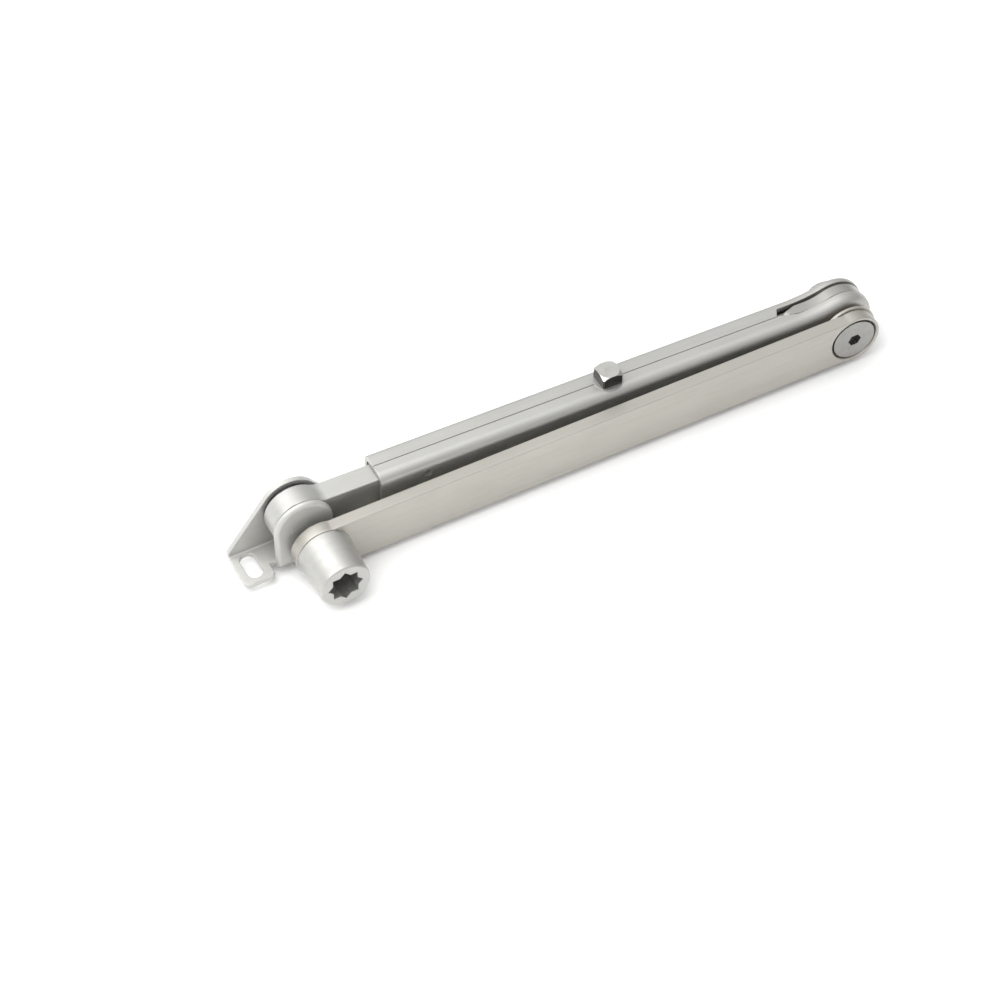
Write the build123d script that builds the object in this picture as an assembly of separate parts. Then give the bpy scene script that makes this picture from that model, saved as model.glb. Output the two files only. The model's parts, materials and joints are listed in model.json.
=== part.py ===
"""Folding arm of an overhead door closer, stored folded flat and standing on edge.

The arm has a flat main arm with a pinion hub, an elbow, a tubular forearm with an adjusting
rod clamped by a square-head screw, and a folded sheet foot that is screwed to the door frame.

Frame: millimetres. The origin is the centre of the pinion socket's mouth. +X runs along the
main arm to the elbow, +Y runs from the socket's mouth into the arm, and +Z is up across the
main arm's width. Every pivot turns about an axis along Y.
"""
from build123d import *
import math
import os

os.makedirs("parts", exist_ok=True)

# ---- driving dimensions -------------------------------------------------------------------
ARM_LENGTH = 280.0          # pinion axis to elbow axis
FOLD_ANGLE = 1.94           # forearm stands this many degrees above the main arm when folded

BAR_WIDTH = 26.2            # main arm, across the flat
BAR_THICK = 6.35
BAR_EDGE_RADIUS = 0.5
HUB_END_RADIUS = 14.2       # round pad of the main arm behind the hub
ELBOW_END_RADIUS = 13.7

HUB_LENGTH = 22.6
HUB_BASE_RADIUS = 13.6
HUB_MOUTH_RADIUS = 12.35
HUB_LIP_RADIUS = 1.1
HUB_SPIGOT_RADIUS = 10.0    # staked through the bar
SOCKET_SQUARE = 12.25       # two squares at 45 degrees make the eight-point socket
SOCKET_DEPTH = 17.0
SOCKET_MOUTH_BREAK = 0.3
ARM_SCREW_HOLE_RADIUS = 3.6

SHEET_EDGE_RADIUS = 0.35    # cut edges of the pressed sheets, left round by tumbling and paint
SHEET = 2.5                 # forearm tube's wall
TUBE_DEPTH = 17.6           # along Y
TUBE_HEIGHT = 26.2
TUBE_FRONT_CORNER = 4.6     # the tube's front edges are bent rounder than its back ones
TUBE_BACK_CORNER = 3.0
TUBE_START = -245.7         # open end of the tube, from the elbow axis
STAKE_X = -221.9            # punched dimple in the tube's front
STAKE_Z = 5.2
STAKE_RADIUS = 2.6
STAKE_DEPTH = 0.9
SEAM_GAP = 0.35
ARM_GAP = 4.05              # between the main arm and the tube

EAR_RADIUS = 16.7           # the two elbow ears of the tube
EAR_BLEND = 70.0            # concave blend from the tube's edge into an ear
KNUCKLE_BLEND = 30.0
KNUCKLE_NOSE = -30.4        # the tip of the knuckle's wedge-shaped nose
MOUTH_START = -32.4         # where the back half of the tube's top is cut away, at the seam
MOUTH_SLANT = 2.2           # the cut leans back this far by the back ear's rim
RIM_START = -21.4           # where the front half's top has narrowed to the ear's rim
FRONT_RIM_DEPTH = 6.0       # the front ear's rim, along Y
BACK_RIM_DEPTH = 4.4

ELBOW_HEAD_RADIUS = 11.1
ELBOW_HEAD_THICK = 3.5
ELBOW_HEAD_PROUD = 0.15
ELBOW_HEAD_GAP = 0.45
ELBOW_HEAD_BREAK = 0.8      # conical edge of the head
ELBOW_RECESS_BREAK = 0.85   # conical mouth of the recess that the head lies in
ELBOW_SHANK_RADIUS = 6.0
ELBOW_THREAD_RADIUS = 5.0
ELBOW_HEX = 6.0             # key size, across flats
ELBOW_NUT_FLATS = 16.0
ELBOW_NUT_THICK = 5.0
BUSHING_RADIUS = 8.0

SCREW_X = -123.5            # clamp screw, from the elbow axis
SCREW_HEAD = 10.4           # square, across flats
SCREW_HEAD_HEIGHT = 6.2
SCREW_RADIUS = 4.95
INSERT_RADIUS = 6.2
INSERT_COLLAR_RADIUS = 7.4
INSERT_COLLAR = 0.3

ROD_HEIGHT = 20.2
ROD_THICK = 10.8
ROD_EDGE_RADIUS = 0.5
ROD_END = -68.0             # hidden end of the rod, from the elbow axis
EYE_X = -284.75             # foot pivot, from the elbow axis
EYE_RADIUS = 14.3
EYE_BLEND = 9.0

FOOT_SHEET = 2.6
FOOT_HALF_LENGTH = 32.5
FOOT_BOTTOM = -22.7         # underside of the base, from the foot pivot
FOOT_EAR_RADIUS = 14.8
FOOT_EAR_ROUND = 2.1        # pressed edge of the front ear
FOOT_PLATE_RADIUS = 14.95
FOOT_BEND = 1.0             # inside bend radius
FOOT_TAB_INNER = 17.3       # inner edge of each slotted tab, from the foot pivot
FOOT_TAB_CORNER = 2.4
FOOT_SLOT_X = 25.2
FOOT_SLOT_WIDTH = 7.9
FOOT_SLOT_LENGTH = 15.3
FOOT_TAB_RIM = 2.7          # between a slot and the tab's front edge
PIN_RADIUS = 5.0
PIN_HEAD_RADIUS = 8.0
PIN_HEAD_THICK = 2.3
EYE_BUSHING_RADIUS = 7.5

RUNNING = 0.05              # radial clearance of every pivot
SIDE_GAP = 0.15             # play between faces that slide past each other

# ---- levels along Y, from the socket's mouth ----------------------------------------------
bar_front = HUB_LENGTH
bar_back = bar_front + BAR_THICK
tube_front = bar_back + ARM_GAP
tube_back = tube_front + TUBE_DEPTH
tube_middle = (tube_front + tube_back) / 2
cavity_front = tube_front + SHEET
cavity_back = tube_back - SHEET
rim_back = tube_front + FRONT_RIM_DEPTH
back_rim_front = tube_back - BACK_RIM_DEPTH
rod_front = cavity_front + SIDE_GAP
rod_back = rod_front + ROD_THICK
foot_ear_back = rod_front - 0.55
foot_ear_front = foot_ear_back - FOOT_SHEET
foot_plate_front = rod_back + 2.3
foot_plate_back = foot_plate_front + FOOT_SHEET
foot_tab_front = bar_back + 0.3

half_width = BAR_WIDTH / 2
half_height = TUBE_HEIGHT / 2
cavity_top = half_height - SHEET


# ---- helpers ------------------------------------------------------------------------------
def plane_at(y):
    """Sketch plane across Y: its x is the frame's X, its y is the frame's Z."""
    return Plane(origin=(0, y, 0), x_dir=(1, 0, 0), z_dir=(0, -1, 0))


def slab(sketch, y_low, y_high):
    """A flat outline in X and Z, filled from y_low to y_high."""
    return extrude(plane_at(y_high) * sketch, y_high - y_low)


def disc(radius, y_low, y_high, hole=0.0):
    """A round plate or ring about the Y axis."""
    outline = Circle(radius)
    if hole:
        outline = outline - Circle(hole)
    return slab(outline, y_low, y_high)


def turned(points):
    """A solid of revolution about the Y axis, from (radius, y) points."""
    face = make_face(Polyline([(r, y, 0) for r, y in points], close=True))
    return revolve(face, Axis.Y)


def round_corners(sketch, corners, radius, reach=0.05):
    """Round the sketch's vertices that lie at the given (x, y) corners."""
    def wanted(vertex):
        return any(math.hypot(vertex.X - x, vertex.Y - y) < reach for x, y in corners)
    return fillet(sketch.vertices().filter_by(wanted), radius)


def sharp_edges(solid):
    """The edges of a solid where its two faces meet at more than 30 degrees."""
    faces_at = {}
    for face in solid.faces():
        for edge in face.edges():
            faces_at.setdefault(edge, []).append(face)

    def is_sharp(edge):
        normals = [face.normal_at(edge @ 0.5) for face in faces_at[edge]]
        return len(normals) == 2 and normals[0].get_angle(normals[1]) > 30
    return ShapeList(edge for edge in faces_at if is_sharp(edge))


def at_forearm(shape):
    """Move a shape from the elbow's own frame to the folded forearm."""
    return Pos(ARM_LENGTH, 0, 0) * Rot(0, FOLD_ANGLE, 0) * shape


def at_foot(shape):
    """Move a shape from the foot pivot's own frame to the folded arm, level with the main arm."""
    angle = math.radians(FOLD_ANGLE)
    return Pos(ARM_LENGTH + EYE_X * math.cos(angle), 0, -EYE_X * math.sin(angle)) * shape


def save(shape, name):
    shape.label = name
    export_step(shape, f"parts/{name}.step")


# ---- main arm -----------------------------------------------------------------------------
def main_arm_bar():
    outline = Pos(ARM_LENGTH / 2, 0) * Rectangle(ARM_LENGTH, BAR_WIDTH)
    outline += Circle(HUB_END_RADIUS)
    outline += Pos(ARM_LENGTH, 0) * Circle(ELBOW_END_RADIUS)
    bar = slab(outline, bar_front, bar_back)
    rims = bar.edges().filter_by(lambda e: e.bounding_box().size.Y < 0.01)
    bar = fillet(rims, BAR_EDGE_RADIUS)
    bar -= disc(HUB_SPIGOT_RADIUS, bar_front - 1, bar_back + 1)
    recess_floor = bar_front + ELBOW_HEAD_THICK - ELBOW_HEAD_PROUD
    recess_radius = ELBOW_HEAD_RADIUS + ELBOW_HEAD_GAP
    recess = turned([
        (0, bar_front - 1),
        (recess_radius + ELBOW_RECESS_BREAK + 1, bar_front - 1),
        (recess_radius, bar_front + ELBOW_RECESS_BREAK),
        (recess_radius, recess_floor),
        (0, recess_floor),
    ])
    bar -= Pos(ARM_LENGTH, 0, 0) * recess
    bar -= Pos(ARM_LENGTH, 0, 0) * disc(ELBOW_SHANK_RADIUS, bar_front - 1, bar_back + 1)
    return bar


def pinion_hub():
    hub = turned([
        (0, 0),
        (HUB_MOUTH_RADIUS, 0),
        (HUB_BASE_RADIUS, bar_front),
        (HUB_SPIGOT_RADIUS, bar_front),
        (HUB_SPIGOT_RADIUS, bar_back),
        (0, bar_back),
    ])
    hub = fillet(hub.edges().filter_by(lambda e: e.bounding_box().max.Y < 0.01), HUB_LIP_RADIUS)
    star = Rectangle(SOCKET_SQUARE, SOCKET_SQUARE) + Rot(0, 0, 45) * Rectangle(SOCKET_SQUARE, SOCKET_SQUARE)
    hub -= slab(star, -1, SOCKET_DEPTH)
    star_mouth = hub.edges().filter_by(lambda e: e.bounding_box().max.Y < 0.01 and e.length < SOCKET_SQUARE)
    hub = chamfer(star_mouth, SOCKET_MOUTH_BREAK)
    hub -= disc(ARM_SCREW_HOLE_RADIUS, SOCKET_DEPTH - 1, bar_back + 1)
    return hub


# ---- elbow --------------------------------------------------------------------------------
head_front = bar_front - ELBOW_HEAD_PROUD
head_back = head_front + ELBOW_HEAD_THICK
thrust_front = bar_back + 1.5
back_washer_front = tube_back + SIDE_GAP
nut_front = back_washer_front + 1.2
screw_end = nut_front + ELBOW_NUT_THICK + 1.0


def elbow_screw():
    screw = turned([
        (0, head_front),
        (ELBOW_HEAD_RADIUS - ELBOW_HEAD_BREAK, head_front),
        (ELBOW_HEAD_RADIUS, head_front + ELBOW_HEAD_BREAK / 2),
        (ELBOW_HEAD_RADIUS, head_back),
        (ELBOW_SHANK_RADIUS, head_back),
        (ELBOW_SHANK_RADIUS, back_washer_front),
        (ELBOW_THREAD_RADIUS, back_washer_front),
        (ELBOW_THREAD_RADIUS, screw_end - 0.8),
        (ELBOW_THREAD_RADIUS - 0.8, screw_end),
        (0, screw_end),
    ])
    key = RegularPolygon(ELBOW_HEX / 2, 6, major_radius=False)
    screw -= slab(key, head_front - 1, head_front + 4.0)
    return Pos(ARM_LENGTH, 0, 0) * screw


def elbow_washers():
    """The three rings that the screw clamps or guides, by name."""
    return {
        "elbow_steel_washer": disc(14.6, bar_back, thrust_front, ELBOW_SHANK_RADIUS),
        "elbow_thrust_washer": disc(11.8, thrust_front, tube_front - SIDE_GAP, ELBOW_SHANK_RADIUS),
        "elbow_back_washer": disc(10.5, back_washer_front, nut_front, ELBOW_THREAD_RADIUS),
    }


def elbow_nut():
    hexagon = RegularPolygon(ELBOW_NUT_FLATS / 2, 6, major_radius=False)
    blank = slab(hexagon, nut_front, nut_front + ELBOW_NUT_THICK)
    corner_radius = ELBOW_NUT_FLATS / 2 / math.cos(math.radians(30))
    cone = turned([
        (0, nut_front),
        (corner_radius, nut_front),
        (corner_radius, nut_front + ELBOW_NUT_THICK - 1.0),
        (corner_radius - 1.7, nut_front + ELBOW_NUT_THICK),
        (0, nut_front + ELBOW_NUT_THICK),
    ])
    nut = blank & cone
    nut -= disc(ELBOW_THREAD_RADIUS, nut_front - 1, nut_front + ELBOW_NUT_THICK + 1)
    return Pos(ARM_LENGTH, 0, 0) * nut


# ---- forearm ------------------------------------------------------------------------------
def ear_outline(radius, edge, start, blend):
    """A strip of half-height edge from start to the elbow, blended into a round ear."""
    outline = Pos(start / 2, 0) * Rectangle(-start, 2 * edge) + Circle(radius)
    meet = -math.sqrt(radius ** 2 - edge ** 2)
    return round_corners(outline, [(meet, edge), (meet, -edge)], blend)


def plan(points, z_low, z_high):
    """A flat outline in X and Y, filled from z_low to z_high."""
    face = make_face(Polyline([(x, y, z_low) for x, y in points], close=True))
    return extrude(face, z_high - z_low, dir=(0, 0, 1))


def forearm_tube():
    def beyond_mouth(edge):
        return edge.center().X > MOUTH_START + 0.5

    def at_open_end(edge):
        return edge.center().X < TUBE_START + 0.1

    section = Pos(tube_middle, 0) * Rectangle(TUBE_DEPTH, TUBE_HEIGHT)
    for side, corner in ((tube_front, TUBE_FRONT_CORNER), (tube_back, TUBE_BACK_CORNER)):
        section = round_corners(section, [(side, half_height), (side, -half_height)], corner)
    cavity = Pos(tube_middle, 0) * RectangleRounded(TUBE_DEPTH - 2 * SHEET, TUBE_HEIGHT - 2 * SHEET, 0.6)
    seam = Pos(tube_middle, half_height) * Rectangle(SEAM_GAP, 2 * SHEET + 2)
    across_x = Plane(origin=(TUBE_START, 0, 0), x_dir=(0, 1, 0), z_dir=(1, 0, 0))
    tube = extrude(across_x * (section - cavity - seam), MOUTH_START - TUBE_START)

    # each half runs on as a cup: a flat ear with a rim all round
    ear = ear_outline(EAR_RADIUS, half_height, MOUTH_START, EAR_BLEND)
    inner = ear_outline(EAR_RADIUS - SHEET, cavity_top, MOUTH_START - 1, EAR_BLEND + SHEET)
    front_cup = slab(ear, tube_front, rim_back)
    front_edges = front_cup.faces().sort_by(Axis.Y)[0].edges().filter_by(beyond_mouth)
    front_cup = fillet(front_edges, TUBE_FRONT_CORNER)
    front_cup -= slab(inner, cavity_front, rim_back + 1)
    back_cup = slab(ear, back_rim_front, tube_back)
    back_edges = back_cup.faces().sort_by(Axis.Y)[-1].edges().filter_by(beyond_mouth)
    back_cup = fillet(back_edges, TUBE_BACK_CORNER)
    back_cup -= slab(inner, back_rim_front - 1, cavity_back)
    tube = tube + front_cup + back_cup

    # from the seam, the top and bottom narrow to those rims
    front_shoulder = [
        (MOUTH_START, rim_back),
        (MOUTH_START, tube_middle - SEAM_GAP / 2),
        (KNUCKLE_NOSE - 0.6, tube_middle - SEAM_GAP / 2),
        (RIM_START - 0.6, rim_back),
    ]
    back_shoulder = [
        (MOUTH_START, tube_middle + SEAM_GAP / 2),
        (MOUTH_START, back_rim_front),
        (MOUTH_START + MOUTH_SLANT, back_rim_front),
    ]
    for shoulder in (front_shoulder, back_shoulder):
        tube += plan(shoulder, cavity_top, half_height)
        tube += plan(shoulder, -half_height, -cavity_top)

    tube -= disc(BUSHING_RADIUS, tube_front - 1, tube_back + 1)
    tube -= Pos(SCREW_X, tube_middle, half_height) * Cylinder(INSERT_RADIUS, 4 * SHEET)
    stake_ball = (STAKE_RADIUS ** 2 + STAKE_DEPTH ** 2) / (2 * STAKE_DEPTH)
    tube -= Pos(STAKE_X, tube_front + STAKE_DEPTH - stake_ball, STAKE_Z) * Sphere(stake_ball)
    return at_forearm(fillet(sharp_edges(tube).filter_by(at_open_end), SHEET_EDGE_RADIUS))


def elbow_knuckle():
    """Solid block between the ears, with a boss in each cup and a wedge-shaped nose."""
    face_front = rim_back + 0.6
    face_back = back_rim_front - 1.2
    edge = half_height - 0.3
    outline = ear_outline(EAR_RADIUS - 0.4, edge, KNUCKLE_NOSE, KNUCKLE_BLEND)
    nose_corners = [(KNUCKLE_NOSE, edge), (KNUCKLE_NOSE, -edge)]
    outline = round_corners(outline, nose_corners, 5.0)
    block = slab(outline, face_front, face_back)
    block = block & plan([
        (KNUCKLE_NOSE, tube_middle - 0.2),
        (RIM_START, face_front),
        (EAR_RADIUS, face_front),
        (EAR_RADIUS, face_back),
        (RIM_START, face_back),
        (KNUCKLE_NOSE, tube_middle + 0.4),
    ], -EAR_RADIUS, EAR_RADIUS)
    block += disc(EAR_RADIUS - SHEET - 0.3, cavity_front, cavity_back - 1.2)
    tang_length = 20.0
    tang_front = cavity_front + 0.2
    tang = Box(tang_length, face_back - tang_front, 2 * cavity_top - 1.2)
    block += Pos(KNUCKLE_NOSE, (tang_front + face_back) / 2, 0) * tang
    block -= disc(BUSHING_RADIUS, cavity_front - 1, face_back + 3)
    return at_forearm(block)


def knuckle_shim():
    return at_forearm(disc(12.0, cavity_back - 1.2, cavity_back, BUSHING_RADIUS))


def elbow_bushing():
    return at_forearm(disc(BUSHING_RADIUS, tube_front, tube_back, ELBOW_SHANK_RADIUS + RUNNING))


def clamp_insert():
    insert = Pos(0, 0, cavity_top + SHEET / 2) * Cylinder(INSERT_RADIUS, SHEET)
    collar = Pos(0, 0, half_height + INSERT_COLLAR / 2) * Cylinder(INSERT_COLLAR_RADIUS, INSERT_COLLAR)
    insert += collar
    insert -= Pos(0, 0, half_height) * Cylinder(SCREW_RADIUS + RUNNING, 6 * SHEET)
    return at_forearm(Pos(SCREW_X, tube_middle, 0) * insert)


def clamp_screw():
    head_bottom = half_height + INSERT_COLLAR + 0.2
    head_top = head_bottom + SCREW_HEAD_HEIGHT
    tip = ROD_HEIGHT / 2 + 0.15
    head = Pos(0, 0, (head_bottom + head_top) / 2) * Box(SCREW_HEAD, SCREW_HEAD, SCREW_HEAD_HEIGHT)
    corner_radius = SCREW_HEAD / math.sqrt(2)
    flank = make_face(Polyline(
        (0, 0, head_bottom),
        (corner_radius, 0, head_bottom),
        (corner_radius, 0, head_top - 1.6),
        (SCREW_HEAD / 2 + 0.1, 0, head_top),
        (0, 0, head_top),
        close=True,
    ))
    head = head & revolve(flank, Axis.Z)
    head = chamfer(head.edges().filter_by(Axis.Z), 0.5)
    neck = Pos(0, 0, (tip + head_bottom) / 2) * Cylinder(SCREW_RADIUS, head_bottom - tip)
    neck = chamfer(neck.faces().sort_by(Axis.Z)[0].edges(), 0.8)
    return at_forearm(Pos(SCREW_X, tube_middle, 0) * (head + neck))


# ---- adjusting rod ------------------------------------------------------------------------
def adjusting_rod():
    bar_length = ROD_END - EYE_X
    outline = Pos(EYE_X + bar_length / 2, 0) * Rectangle(bar_length, ROD_HEIGHT)
    outline += Pos(EYE_X, 0) * Circle(EYE_RADIUS)
    meet = EYE_X + math.sqrt(EYE_RADIUS ** 2 - (ROD_HEIGHT / 2) ** 2)
    outline = round_corners(outline, [(meet, ROD_HEIGHT / 2), (meet, -ROD_HEIGHT / 2)], EYE_BLEND)
    rod = slab(outline, rod_front, rod_back)
    rims = rod.edges().filter_by(lambda e: e.bounding_box().size.Y < 0.01)
    rod = fillet(rims, ROD_EDGE_RADIUS)
    rod -= Pos(EYE_X, 0, 0) * disc(EYE_BUSHING_RADIUS, rod_front - 1, rod_back + 1)
    return at_forearm(rod)


def eye_bushing():
    ring = disc(EYE_BUSHING_RADIUS, rod_front, rod_back, PIN_RADIUS + RUNNING)
    return at_forearm(Pos(EYE_X, 0, 0) * ring)


# ---- foot ---------------------------------------------------------------------------------
def foot_bracket():
    base_top = FOOT_BOTTOM + FOOT_SHEET
    outer_bend = FOOT_BEND + FOOT_SHEET
    across_x = Plane(origin=(-FOOT_HALF_LENGTH, 0, 0), x_dir=(0, 1, 0), z_dir=(1, 0, 0))

    def strip(y_low, y_high, z_low, z_high):
        return Pos((y_low + y_high) / 2, (z_low + z_high) / 2) * Rectangle(y_high - y_low, z_high - z_low)

    # back plate and base, one bent sheet
    angle = strip(foot_tab_front, foot_plate_back, FOOT_BOTTOM, base_top)
    angle += strip(foot_plate_front, foot_plate_back, FOOT_BOTTOM, FOOT_PLATE_RADIUS)
    angle = round_corners(angle, [(foot_plate_back, FOOT_BOTTOM)], outer_bend)
    angle = round_corners(angle, [(foot_plate_front, base_top)], FOOT_BEND)
    sheet = extrude(across_x * angle, 2 * FOOT_HALF_LENGTH)
    foot_line = Pos(0, FOOT_BOTTOM + 2.4) * Rectangle(2 * FOOT_HALF_LENGTH, 4.8)
    gusset = make_hull((Circle(FOOT_PLATE_RADIUS) + foot_line).edges())
    sheet = sheet & slab(gusset, foot_tab_front - 1, foot_plate_back + 1)

    # two slotted tabs, with a bend relief each side of the front ear
    relief_back = foot_ear_back + 1.6
    middle = Box(2 * FOOT_TAB_INNER, relief_back - foot_tab_front + 2, 4 * FOOT_SHEET)
    middle_y = (relief_back + foot_tab_front) / 2 - 1
    sheet -= Pos(0, middle_y, FOOT_BOTTOM) * middle
    corners = sheet.edges().filter_by(Axis.Z).filter_by(
        lambda e: e.center().Y < foot_tab_front + 0.1 and e.center().Z < base_top)
    sheet = fillet(corners, FOOT_TAB_CORNER)
    slot_y = foot_tab_front + FOOT_TAB_RIM + FOOT_SLOT_LENGTH / 2
    for side in (-1, 1):
        slot = Rot(0, 0, 90) * SlotOverall(FOOT_SLOT_LENGTH, FOOT_SLOT_WIDTH)
        cutter = extrude(Pos(side * FOOT_SLOT_X, slot_y, FOOT_BOTTOM - 1) * slot, FOOT_SHEET + 2)
        sheet -= cutter

    # front ear, bent up from the middle of the base
    bend = strip(foot_ear_front, relief_back, FOOT_BOTTOM, base_top)
    bend += strip(foot_ear_front, foot_ear_back, FOOT_BOTTOM, FOOT_EAR_RADIUS)
    bend = round_corners(bend, [(foot_ear_front, FOOT_BOTTOM)], outer_bend)
    bend = round_corners(bend, [(foot_ear_back, base_top)], FOOT_BEND)
    ear = extrude(across_x * bend, 2 * FOOT_HALF_LENGTH)
    ear_shape = Circle(FOOT_EAR_RADIUS)
    ear_shape += Pos(0, FOOT_BOTTOM / 2) * Rectangle(2 * FOOT_EAR_RADIUS, -FOOT_BOTTOM)
    ear = ear & slab(ear_shape, foot_ear_front, relief_back)
    front_edges = ear.faces().sort_by(Axis.Y)[0].edges()
    ear = fillet(front_edges.filter_by(lambda e: e.center().Z > base_top + outer_bend - 1), FOOT_EAR_ROUND)

    bracket = sheet + ear
    bracket = fillet(sharp_edges(bracket), SHEET_EDGE_RADIUS)
    bracket -= disc(PIN_RADIUS, foot_ear_front - 1, foot_plate_back + 1)
    countersink = turned([
        (0, foot_ear_front),
        (PIN_RADIUS + 2.0, foot_ear_front),
        (PIN_RADIUS, foot_ear_front + 2.0),
        (0, foot_ear_front + 2.0),
    ])
    return at_foot(bracket - countersink)


def foot_pivot_pin():
    head_end = foot_plate_back + PIN_HEAD_THICK
    pin = turned([
        (0, foot_ear_front),
        (PIN_RADIUS + 2.0, foot_ear_front),
        (PIN_RADIUS, foot_ear_front + 2.0),
        (PIN_RADIUS, foot_plate_back),
        (PIN_HEAD_RADIUS, foot_plate_back),
        (PIN_HEAD_RADIUS - 0.6, head_end - 0.9),
        (PIN_HEAD_RADIUS - 2.6, head_end),
        (0, head_end),
    ])
    return at_foot(pin)


def foot_spring_washer():
    """Dished spring ring between the back washer and the back plate."""
    inner, outer, thick = PIN_RADIUS, 13.2, 0.45
    high, low = foot_plate_front, foot_plate_front - 1.0
    ring = turned([(inner, high - thick), (inner, high), (outer, low + thick), (outer, low)])
    return at_foot(ring)


def foot_washers():
    spring_front = foot_plate_front - 1.0
    return {
        "foot_front_washer": disc(13.0, foot_ear_back, rod_front - SIDE_GAP, PIN_RADIUS),
        "foot_back_washer": disc(13.6, rod_back + SIDE_GAP, spring_front, PIN_RADIUS),
    }


save(main_arm_bar(), "main_arm_bar")
save(pinion_hub(), "pinion_hub")
save(elbow_screw(), "elbow_screw")
for washer_name, washer in elbow_washers().items():
    save(Pos(ARM_LENGTH, 0, 0) * washer, washer_name)
save(elbow_nut(), "elbow_nut")
save(forearm_tube(), "forearm_tube")
save(elbow_knuckle(), "elbow_knuckle")
save(knuckle_shim(), "knuckle_shim")
save(elbow_bushing(), "elbow_bushing")
save(clamp_insert(), "clamp_insert")
save(clamp_screw(), "clamp_screw")
save(adjusting_rod(), "adjusting_rod")
save(eye_bushing(), "eye_bushing")
save(foot_bracket(), "foot_bracket")
save(foot_pivot_pin(), "foot_pivot_pin")
save(foot_spring_washer(), "foot_spring_washer")
for washer_name, washer in foot_washers().items():
    save(at_foot(washer), washer_name)
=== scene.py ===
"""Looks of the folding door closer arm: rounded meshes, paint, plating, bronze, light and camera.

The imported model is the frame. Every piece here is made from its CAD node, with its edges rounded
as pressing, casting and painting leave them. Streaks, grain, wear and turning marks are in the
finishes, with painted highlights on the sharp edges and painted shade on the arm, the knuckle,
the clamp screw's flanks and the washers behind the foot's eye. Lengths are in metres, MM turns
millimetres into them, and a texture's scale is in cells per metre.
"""
import json
import math

import bmesh
import bpy
from mathutils import Matrix, Vector


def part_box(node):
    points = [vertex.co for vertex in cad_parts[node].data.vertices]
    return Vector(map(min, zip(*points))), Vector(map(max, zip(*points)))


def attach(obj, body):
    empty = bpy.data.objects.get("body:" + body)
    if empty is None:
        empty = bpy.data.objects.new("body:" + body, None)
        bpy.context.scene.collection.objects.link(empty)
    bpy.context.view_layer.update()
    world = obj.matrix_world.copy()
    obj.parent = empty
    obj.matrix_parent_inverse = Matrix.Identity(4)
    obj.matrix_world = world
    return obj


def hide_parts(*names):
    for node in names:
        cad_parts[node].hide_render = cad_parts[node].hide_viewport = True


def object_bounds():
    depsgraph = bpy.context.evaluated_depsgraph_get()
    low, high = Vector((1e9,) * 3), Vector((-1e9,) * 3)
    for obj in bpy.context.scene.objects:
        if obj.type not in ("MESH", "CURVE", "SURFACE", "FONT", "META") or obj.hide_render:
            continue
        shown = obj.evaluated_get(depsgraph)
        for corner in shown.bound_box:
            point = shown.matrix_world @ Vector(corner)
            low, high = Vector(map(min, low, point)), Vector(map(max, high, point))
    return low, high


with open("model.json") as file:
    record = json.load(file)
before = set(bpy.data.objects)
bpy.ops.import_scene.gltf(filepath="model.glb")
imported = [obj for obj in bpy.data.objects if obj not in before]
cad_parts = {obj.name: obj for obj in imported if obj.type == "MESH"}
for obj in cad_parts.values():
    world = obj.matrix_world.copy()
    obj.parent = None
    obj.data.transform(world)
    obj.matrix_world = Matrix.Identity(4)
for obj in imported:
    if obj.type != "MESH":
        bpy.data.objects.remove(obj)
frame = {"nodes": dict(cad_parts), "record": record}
cad_low, cad_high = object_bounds()

MM = 0.001


# ---- node helpers -------------------------------------------------------------------------
def map_range(tree, low, high, out_low, out_high):
    """A node that turns low to high into out_low to out_high and stops at both ends."""
    node = tree.nodes.new("ShaderNodeMapRange")
    node.inputs["From Min"].default_value = low
    node.inputs["From Max"].default_value = high
    node.inputs["To Min"].default_value = out_low
    node.inputs["To Max"].default_value = out_high
    return node


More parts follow.
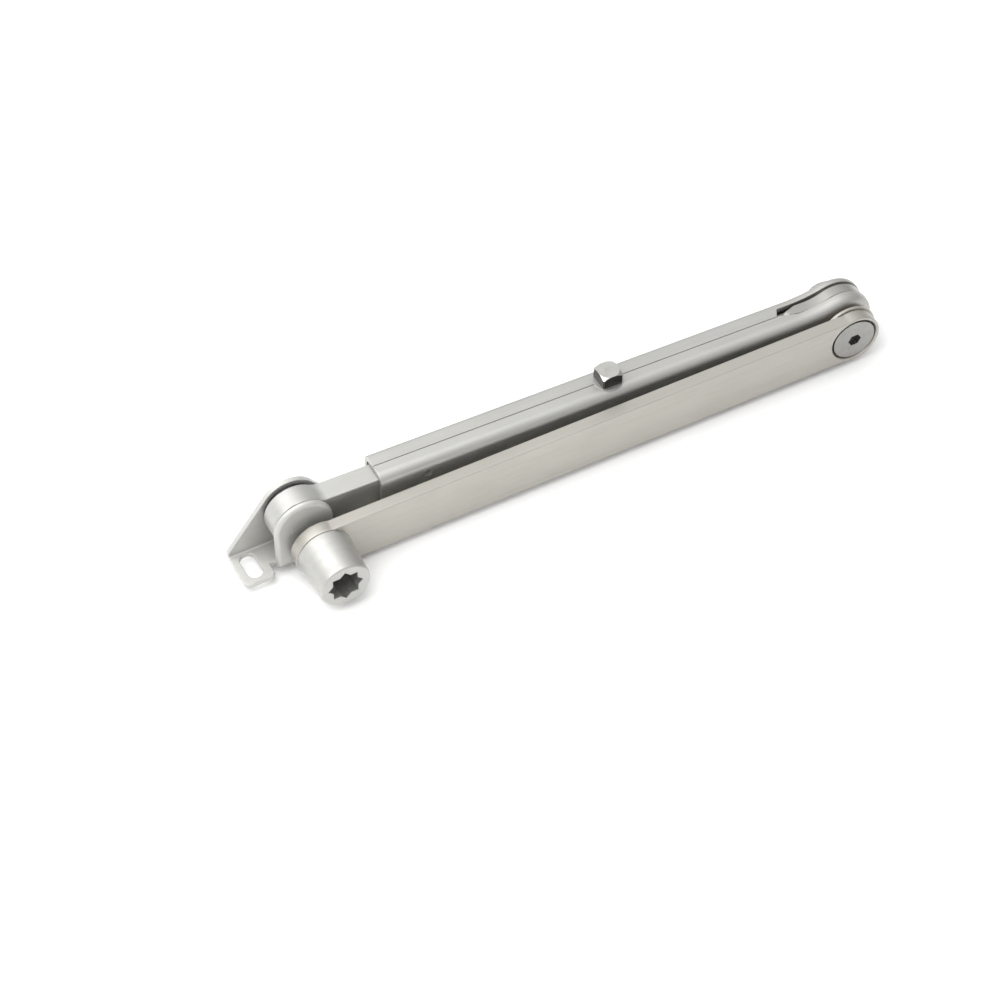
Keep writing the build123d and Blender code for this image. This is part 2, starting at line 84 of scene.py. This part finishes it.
class Shader:
    """A material's node tree, with short calls for the nodes that the finishes use."""

    def __init__(self, name, color, metallic, roughness):
        self.material = bpy.data.materials.new(name)
        self.material.use_nodes = True
        self.tree = self.material.node_tree
        self.surface = self.tree.nodes["Principled BSDF"]
        self.surface.inputs["Base Color"].default_value = (*color, 1)
        self.surface.inputs["Metallic"].default_value = metallic
        self.surface.inputs["Roughness"].default_value = roughness
        coordinates = self.tree.nodes.new("ShaderNodeTexCoord")
        self.place = coordinates.outputs["Object"]

    def node(self, kind, **values):
        node = self.tree.nodes.new(kind)
        for name, value in values.items():
            setattr(node, name, value)
        return node

    def link(self, output, target):
        self.tree.links.new(output, target)

    def noise(self, scale, detail=2.0, place=None):
        """Noise with one scale for all axes or one for each. Most of it lies between 0.3 and 0.7."""
        mapping = self.node("ShaderNodeMapping")
        mapping.inputs["Scale"].default_value = scale if isinstance(scale, tuple) else (scale,) * 3
        self.link(place or self.place, mapping.inputs["Vector"])
        noise = self.node("ShaderNodeTexNoise")
        noise.inputs["Scale"].default_value = 1.0
        noise.inputs["Detail"].default_value = detail
        noise.inputs["Roughness"].default_value = 0.5
        self.link(mapping.outputs["Vector"], noise.inputs["Vector"])
        return noise.outputs["Fac"]

    def ramp(self, value, low, high, out_low=0.0, out_high=1.0):
        """Goes from out_low to out_high while the value goes from low to high."""
        node = map_range(self.tree, low, high, out_low, out_high)
        self.link(value, node.inputs["Value"])
        return node.outputs["Result"]

    def math(self, operation, first, second):
        node = self.node("ShaderNodeMath", operation=operation)
        for socket, value in zip(node.inputs, (first, second)):
            if isinstance(value, (int, float)):
                socket.default_value = value
            else:
                self.link(value, socket)
        return node.outputs["Value"]

    def mix(self, share, first, second):
        """Colour first where share is 0 and second where it is 1."""
        node = self.node("ShaderNodeMix", data_type="RGBA")
        share_socket, first_socket, second_socket = (node.inputs[index] for index in (0, 6, 7))
        self.link(share, share_socket)
        for socket, value in ((first_socket, first), (second_socket, second)):
            if isinstance(value, tuple):
                socket.default_value = (*value, 1)
            else:
                self.link(value, socket)
        return node.outputs[2]

    def bump(self, height, distance, normal=None):
        """Relief of a height in metres, on top of another normal where one is given."""
        node = self.node("ShaderNodeBump")
        node.inputs["Distance"].default_value = distance
        node.inputs["Strength"].default_value = 1.0
        self.link(height, node.inputs["Height"])
        if normal is not None:
            self.link(normal, node.inputs["Normal"])
        return node.outputs["Normal"]

    def rounded(self, radius):
        """A normal that turns smoothly round the sharp edges."""
        rounded = self.node("ShaderNodeBevel", samples=4)
        rounded.inputs["Radius"].default_value = radius
        return rounded.outputs["Normal"]

    def edges(self, rounded):
        """1 on the sharp edges, 0 elsewhere: how far a rounded normal leaves the true one."""
        geometry = self.node("ShaderNodeNewGeometry")
        dot = self.node("ShaderNodeVectorMath", operation="DOT_PRODUCT")
        self.link(rounded, dot.inputs[0])
        self.link(geometry.outputs["Normal"], dot.inputs[1])
        return self.ramp(dot.outputs["Value"], 0.995, 0.93)

    def rings(self, centre, spacing):
        """Turning marks: waves of the distance from an axis along Y through a point."""
        shift = self.node("ShaderNodeVectorMath", operation="SUBTRACT")
        shift.inputs[1].default_value = (centre[0], 0, centre[2])
        self.link(self.place, shift.inputs[0])
        flat = self.node("ShaderNodeVectorMath", operation="MULTIPLY")
        flat.inputs[1].default_value = (1, 0, 1)
        self.link(shift.outputs["Vector"], flat.inputs[0])
        distance = self.node("ShaderNodeVectorMath", operation="LENGTH")
        self.link(flat.outputs["Vector"], distance.inputs[0])
        turns = self.math("MULTIPLY", distance.outputs["Value"], 1 / spacing)
        place = self.node("ShaderNodeCombineXYZ")
        self.link(turns, place.inputs["X"])
        return self.noise(1, 3.0, place.outputs["Vector"])

    def set(self, name, output):
        self.link(output, self.surface.inputs[name])


# ---- finishes -----------------------------------------------------------------------------
GRAIN = 2600                # the finest grain of plated and ground steel


def silver_paint(name, tone=1.0, warmth=0.0, metallic=0.92, rough=(0.33, 0.42)):
    """Aluminium-coloured enamel: fine flake, slight streaks and orange peel, and lighter patches on the
    edges, partly rubbed paint and partly painted highlight.
    """
    def shade(red, green, blue):
        return (red * tone * (1 + warmth), green * tone, blue * tone * (1 - 1.5 * warmth))

    shader = Shader(name, shade(0.50, 0.495, 0.475), metallic, sum(rough) / 2)
    cloud = shader.noise(28, 3.0)
    streak = shader.noise((14, 420, 420))
    flake = shader.noise(3600, 1.0)
    cloudy = shader.ramp(cloud, 0.3, 0.7)
    color = shader.mix(cloudy, shade(0.485, 0.482, 0.46), shade(0.525, 0.522, 0.50))
    color = shader.mix(shader.ramp(streak, 0.45, 0.75, 0.0, 0.45), color, shade(0.45, 0.447, 0.43))
    color = shader.mix(shader.ramp(flake, 0.5, 0.8, 0.0, 0.45), color, shade(0.62, 0.615, 0.595))
    turned = shader.rounded(0.3 * MM)
    patches = shader.ramp(shader.noise(260, 3.0), 0.45, 0.62)
    # Rubbed paint and painted edge highlight: patches along the sharp edges turn lighter.
    rubbed_and_highlit_edges = shader.math("MULTIPLY", shader.edges(turned), patches)
    color = shader.mix(shader.math("MULTIPLY", rubbed_and_highlit_edges, 0.4), color, shade(0.62, 0.61, 0.585))
    shader.set("Base Color", color)
    shader.set("Roughness", shader.ramp(shader.noise((70, 300, 300), 3.0), 0.3, 0.7, *rough))
    peel = shader.bump(shader.noise(700), 0.006 * MM, turned)
    shader.set("Normal", shader.bump(flake, 0.002 * MM, peel))
    return shader.material


def plated_steel(name, centre=None, tone=1.0, rough=(0.18, 0.3)):
    """Zinc-plated steel: bright and finely blotched, with turning marks round a pivot's centre."""
    def shade(red, green, blue):
        return (red * tone, green * tone, blue * tone)

    shader = Shader(name, shade(0.70, 0.69, 0.66), 1.0, sum(rough) / 2)
    blotch = shader.noise(160, 4.0)
    grain = shader.noise(GRAIN)
    blotched = shader.ramp(blotch, 0.35, 0.7)
    color = shader.mix(blotched, shade(0.72, 0.71, 0.68), shade(0.63, 0.625, 0.60))
    color = shader.mix(shader.ramp(grain, 0.4, 0.8, 0.0, 0.25), color, shade(0.5, 0.49, 0.47))
    shader.set("Base Color", color)
    shader.set("Roughness", shader.ramp(shader.noise(300, 3.0), 0.3, 0.7, *rough))
    normal = shader.bump(grain, 0.004 * MM)
    if centre is not None:
        normal = shader.bump(shader.rings(centre, 0.35 * MM), 0.02 * MM, normal)
    shader.set("Normal", normal)
    return shader.material


def clamp_screw_painted_shade():
    """Square-head set screw: painted light on its top and near-black painted shade on its flanks, with
    lighter edges for wear and a painted highlight.
    """
    shader = Shader("clamp_screw_painted_shade", (0.3, 0.3, 0.29), 0.9, 0.3)
    geometry = shader.node("ShaderNodeNewGeometry")
    upward = shader.node("ShaderNodeSeparateXYZ")
    shader.link(geometry.outputs["Normal"], upward.inputs["Vector"])
    blotch = shader.noise(300, 3.0)
    blotched = shader.ramp(blotch, 0.35, 0.7)
    # Painted shade: faces blend from the lighter top colour to the near-black flank colour as they turn
    # away from upward.
    painted_lit_top = shader.mix(blotched, (0.52, 0.515, 0.49), (0.44, 0.435, 0.415))
    painted_flank_shade = shader.mix(blotched, (0.075, 0.075, 0.07), (0.045, 0.045, 0.042))
    color = shader.mix(shader.ramp(upward.outputs["Z"], 0.3, 0.75), painted_flank_shade, painted_lit_top)
    # Worn and painted highlight: every sharp edge of the screw is lighter.
    rubbed_and_highlit_edges = shader.edges(shader.rounded(0.35 * MM))
    color = shader.mix(shader.math("MULTIPLY", rubbed_and_highlit_edges, 0.55), color, (0.6, 0.595, 0.57))
    shader.set("Base Color", color)
    shader.set("Roughness", shader.ramp(blotch, 0.3, 0.7, 0.26, 0.38))
    shader.set("Normal", shader.bump(shader.noise(GRAIN), 0.004 * MM))
    return shader.material


def black_washer_painted_shade():
    """Near-black washers behind the foot's eye: painted shade for the dark gap between the eye and the
    plate.
    """
    shader = Shader("black_washer_painted_shade", (0.03, 0.03, 0.03), 0.7, 0.4)
    blotch = shader.noise(260, 3.0)
    blotched = shader.ramp(blotch, 0.35, 0.7)
    shader.set("Base Color", shader.mix(blotched, (0.035, 0.035, 0.034), (0.018, 0.018, 0.018)))
    shader.set("Roughness", shader.ramp(blotch, 0.3, 0.7, 0.34, 0.5))
    shader.set("Normal", shader.bump(shader.noise(GRAIN), 0.003 * MM))
    return shader.material


def sintered_bronze():
    """Oil-filled bronze of the bushings and the thrust washer: dull and finely porous."""
    shader = Shader("sintered_bronze", (0.16, 0.135, 0.10), 0.9, 0.5)
    tone = shader.noise(240, 3.0)
    pores = shader.noise(3400, 1.0)
    color = shader.mix(shader.ramp(tone, 0.3, 0.7), (0.18, 0.15, 0.11), (0.13, 0.11, 0.085))
    shader.set("Base Color", shader.mix(shader.ramp(pores, 0.62, 0.7), color, (0.05, 0.04, 0.03)))
    shader.set("Roughness", shader.ramp(tone, 0.3, 0.7, 0.42, 0.58))
    shader.set("Normal", shader.bump(pores, 0.01 * MM))
    return shader.material


def middle(node):
    """The middle of a CAD node's box."""
    low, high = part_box(node)
    return (Vector(low) + Vector(high)) / 2


paint = silver_paint("silver_enamel", tone=0.95, rough=(0.44, 0.54))
# The arm's enamel is warm, its own colour; its lower tone darkens the whole arm and its washer as painted
# shade for the arm's front face.
warm_paint_with_painted_shade = silver_paint("silver_enamel_arm", tone=0.84, warmth=0.03, rough=(0.38, 0.48))
# The knuckle's enamel is the tube's at a lower tone: painted shade for the light that fades toward the
# elbow.
knuckle_paint_with_painted_shade = silver_paint("silver_enamel_knuckle", tone=0.78, warmth=0.01)
dull_paint = silver_paint("silver_enamel_foot", tone=0.98, metallic=0.5, rough=(0.42, 0.52))
plate = plated_steel("zinc_plate", tone=0.66, rough=(0.14, 0.24))
elbow_plate = plated_steel("zinc_plate_elbow", middle("elbow_screw"), 0.46)
painted_gap_shade = black_washer_painted_shade()
bronze = sintered_bronze()
FINISH = {
    "main_arm_bar": warm_paint_with_painted_shade, "elbow_steel_washer": warm_paint_with_painted_shade,
    "pinion_hub": paint, "forearm_tube": paint, "adjusting_rod": paint, "clamp_insert": paint,
    "elbow_knuckle": knuckle_paint_with_painted_shade,
    "foot_bracket": dull_paint, "foot_pivot_pin": dull_paint,
    "elbow_screw": elbow_plate, "elbow_back_washer": elbow_plate,
    "elbow_nut": plate, "foot_front_washer": plate,
    "clamp_screw": clamp_screw_painted_shade(),
    # The washers behind the foot's eye are near-black as painted shade in that gap.
    "foot_spring_washer": painted_gap_shade, "foot_back_washer": painted_gap_shade,
    "elbow_thrust_washer": bronze, "elbow_bushing": bronze, "knuckle_shim": bronze, "eye_bushing": bronze,
}


# ---- pieces from the CAD nodes -------------------------------------------------------------
WELD = 0.001 * MM           # joins the corners that the import splits
FLAT = math.radians(0.4)    # neighbouring faces within this angle are one flat face
SHARP = math.radians(28)    # edges that turn more than this are sharp
ROUND_STEPS = 3             # faces across a rounded edge


def refined(node, radius):
    """Makes a node's visible piece: its clean faces and, given a radius, rounded sharp edges."""
    source = frame["nodes"][node]
    shape = bmesh.new()
    shape.from_mesh(source.data)
    bmesh.ops.remove_doubles(shape, verts=shape.verts, dist=WELD)
    bmesh.ops.dissolve_limit(shape, angle_limit=FLAT, verts=shape.verts, edges=shape.edges)
    mesh = bpy.data.meshes.new(node + "_body")
    shape.to_mesh(mesh)
    shape.free()
    piece = bpy.data.objects.new(node + "_body", mesh)
    bpy.context.scene.collection.objects.link(piece)
    for face in mesh.polygons:
        face.use_smooth = True
    if radius:
        rounding = piece.modifiers.new("rounding", "BEVEL")
        rounding.width = radius
        rounding.segments = ROUND_STEPS
        rounding.limit_method = "ANGLE"
        rounding.angle_limit = SHARP
    else:
        mesh.set_sharp_from_angle(angle=SHARP)
    shading = piece.modifiers.new("flat_faces_stay_flat", "WEIGHTED_NORMAL")
    shading.weight = 80  # large faces decide the shading
    shading.keep_sharp = True
    mesh.materials.append(FINISH[node])
    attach(piece, body_of[node])
    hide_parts(node)


bodies = frame["record"]["behaviour"]["bodies"]
body_of = {node: body for body, nodes in bodies.items() for node in nodes}

# In millimetres. Pieces with 0 keep the CAD model's edges: most of theirs are round there, the
# paint softens the rest, and the spring washer is hidden.
EDGE_RADIUS = {
    "main_arm_bar": 0, "pinion_hub": 0.12, "elbow_screw": 0.12, "elbow_nut": 0.15,
    "elbow_steel_washer": 0.25, "elbow_thrust_washer": 0.1, "elbow_back_washer": 0.15,
    "forearm_tube": 0, "elbow_knuckle": 0.3, "knuckle_shim": 0.1, "elbow_bushing": 0.1,
    "clamp_insert": 0.08, "clamp_screw": 0.25, "adjusting_rod": 0, "eye_bushing": 0.1,
    "foot_bracket": 0, "foot_pivot_pin": 0.12, "foot_spring_washer": 0,
    "foot_front_washer": 0.05, "foot_back_washer": 0.1,
}
for node, radius in EDGE_RADIUS.items():
    refined(node, radius * MM)


# ---- floor, light and camera ---------------------------------------------------------------
FLOOR_REACH = 20            # from its middle to each side
FLOOR_GAP = 0.05 * MM       # keeps the floor clear of the foot's flat underside


def floor():
    """A pale floor under the object's lowest point."""
    mesh = bpy.data.meshes.new("floor")
    shape = bmesh.new()
    bmesh.ops.create_grid(shape, x_segments=1, y_segments=1, size=FLOOR_REACH)
    shape.to_mesh(mesh)
    shape.free()
    plane = bpy.data.objects.new("floor", mesh)
    plane.location.z = cad_low.z - FLOOR_GAP
    bpy.context.scene.collection.objects.link(plane)
    shader = Shader("floor_white", (0.97, 0.97, 0.97), 0.0, 0.9)
    shader.surface.inputs["Specular IOR Level"].default_value = 0.1
    mesh.materials.append(shader.material)


def area_light(name, place, aim, size, power):
    """A square lamp of a size in metres and a power in watts, turned to a point."""
    light = bpy.data.lights.new(name, "AREA")
    light.shape = "SQUARE"
    light.size = size
    light.energy = power
    lamp = bpy.data.objects.new(name, light)
    lamp.location = place
    lamp.rotation_mode = "QUATERNION"
    lamp.rotation_quaternion = (Vector(aim) - Vector(place)).to_track_quat("-Z", "Y")
    bpy.context.scene.collection.objects.link(lamp)


BRIGHT_SIDE = Vector((-0.45, 0.2, 0.85)).normalized()
SKY_DARK = 0.42             # strength of the light from the side away from the bright one
SKY_BRIGHT = 1.2
FADE = (-0.2, 0.7)          # cosines from the bright side where the sky is darkest and brightest
FOREARM_AIM = (0.05, 0.02, 0)
OBJECT_AIM = (0.14, 0.02, 0)


def studio():
    """A large soft light overhead and to the left, which fades to the right and the front.

    The camera itself sees a plain background.
    """
    world = bpy.data.worlds.new("studio")
    world.use_nodes = True
    tree = world.node_tree
    sky = tree.nodes["Background"]
    toward = tree.nodes.new("ShaderNodeTexCoord").outputs["Generated"]
    facing = tree.nodes.new("ShaderNodeVectorMath")
    facing.operation = "DOT_PRODUCT"
    facing.inputs[1].default_value = BRIGHT_SIDE
    tree.links.new(toward, facing.inputs[0])
    fade = map_range(tree, *FADE, SKY_DARK, SKY_BRIGHT)
    tree.links.new(facing.outputs["Value"], fade.inputs["Value"])
    tree.links.new(fade.outputs["Result"], sky.inputs["Strength"])
    sky.inputs["Color"].default_value = (1, 1, 1, 1)
    backdrop = tree.nodes.new("ShaderNodeBackground")
    seen = tree.nodes.new("ShaderNodeLightPath").outputs["Is Camera Ray"]
    shown = tree.nodes.new("ShaderNodeMixShader")
    tree.links.new(seen, shown.inputs[0])
    tree.links.new(sky.outputs[0], shown.inputs[1])
    tree.links.new(backdrop.outputs[0], shown.inputs[2])
    tree.links.new(shown.outputs[0], tree.nodes["World Output"].inputs["Surface"])
    bpy.context.scene.world = world
    area_light("left_softbox", (-0.24, 0.12, 0.62), FOREARM_AIM, 0.8, 3.8)
    area_light("floor_wash", (-0.3, -0.1, 2.0), OBJECT_AIM, 2.4, 7)


CAMERA_AIM = Vector((0.08503, 0.0128, 0))
CAMERA_DISTANCE = 1.84694
CAMERA_AZIMUTH = math.radians(-25.847)
CAMERA_ELEVATION = math.radians(49.248)
CAMERA_ROLL = math.radians(-1.771)
CAMERA_LENS = 144.14        # in millimetres, on the default 36 mm sensor


def camera():
    """The main camera: high in front of the arm and to its left, and tilted by its roll."""
    back = Vector((
        math.sin(CAMERA_AZIMUTH) * math.cos(CAMERA_ELEVATION),
        -math.cos(CAMERA_AZIMUTH) * math.cos(CAMERA_ELEVATION),
        math.sin(CAMERA_ELEVATION),
    ))
    level = Vector((math.cos(CAMERA_AZIMUTH), math.sin(CAMERA_AZIMUTH), 0))
    upright = back.cross(level)
    right = math.cos(CAMERA_ROLL) * level + math.sin(CAMERA_ROLL) * upright
    up = back.cross(right)
    data = bpy.data.cameras.new("camera")
    data.lens = CAMERA_LENS
    data.clip_end = 50
    eye = bpy.data.objects.new("camera", data)
    place = CAMERA_AIM + CAMERA_DISTANCE * back
    eye.matrix_world = Matrix.Translation(place) @ Matrix((right, up, back)).transposed().to_4x4()
    bpy.context.scene.collection.objects.link(eye)
    bpy.context.scene.camera = eye


floor()
studio()
camera()
bpy.context.scene.view_settings.view_transform = "Standard"
